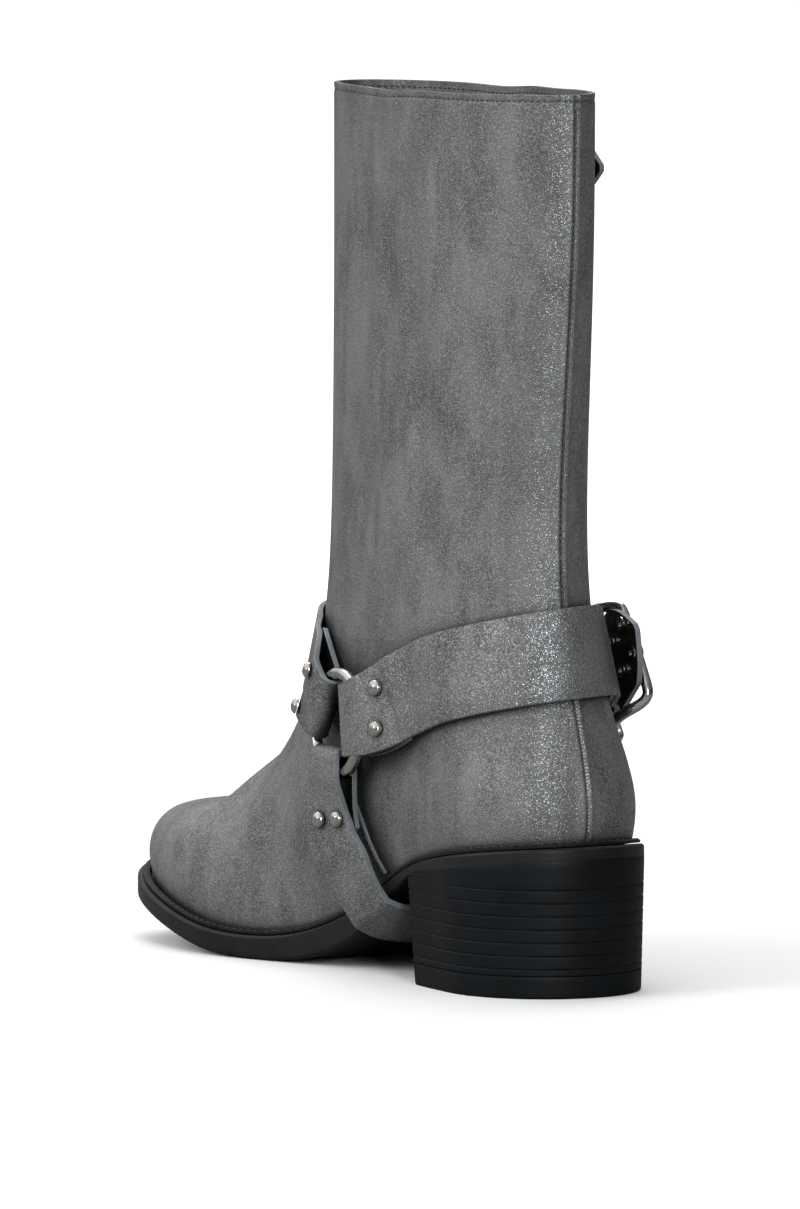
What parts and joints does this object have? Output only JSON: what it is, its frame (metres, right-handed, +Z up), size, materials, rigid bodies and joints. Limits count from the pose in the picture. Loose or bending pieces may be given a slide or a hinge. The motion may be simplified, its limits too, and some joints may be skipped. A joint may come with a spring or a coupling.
{
  "type": "harness boot",
  "caption": "Right-foot pull-on harness boot with a hollow mid-calf shaft, ring-and-strap harness, side buckle, welted sole and stacked block heel.",
  "frame": {"origin": "on the floor under the middle of the heel, on the heel's flat tread", "axes": "X from the inner to the outer side of the foot, Y from heel to toe, Z up"},
  "size_m": [0.094, 0.2641, 0.2943],
  "materials": {
    "grey_leather": "mottled grey, fine grain, soft sheen",
    "strap_leather": "grey face, black underside",
    "black_rubber": "satin black",
    "welt_leather": "black, stitched",
    "insole_leather": "matte",
    "nickel": "polished nickel"
  },
  "bodies": {
    "root": {"arch_strap": "strap_leather", "buckle_bar": "nickel", "buckle_frame": "nickel", "buckle_strap": "strap_leather", "collar_strap": "strap_leather", "eyelet_lower_1": "nickel", "eyelet_lower_2": "nickel", "eyelet_upper_1": "nickel", "eyelet_upper_2": "nickel", "front_strap": "strap_leather", "heel_stack": "black_rubber", "heel_strap": "strap_leather", "heel_top_lift": "black_rubber", "insole": "insole_leather", "outsole": "black_rubber", "prong_lower": "nickel", "prong_upper": "nickel", "ring_inner": "nickel", "ring_outer": "nickel", "rivet_arch_inner_front": "nickel", "rivet_arch_inner_rear": "nickel", "rivet_arch_outer_front": "nickel", "rivet_arch_outer_rear": "nickel", "rivet_buckle_strap_lower": "nickel", "rivet_buckle_strap_upper": "nickel", "rivet_front_inner_lower": "nickel", "rivet_front_inner_upper": "nickel", "rivet_front_outer_lower": "nickel", "rivet_front_outer_upper": "nickel", "rivet_heel_inner_lower": "nickel", "rivet_heel_inner_upper": "nickel", "upper": "grey_leather", "welt": "welt_leather"}
  },
  "joints": []
}
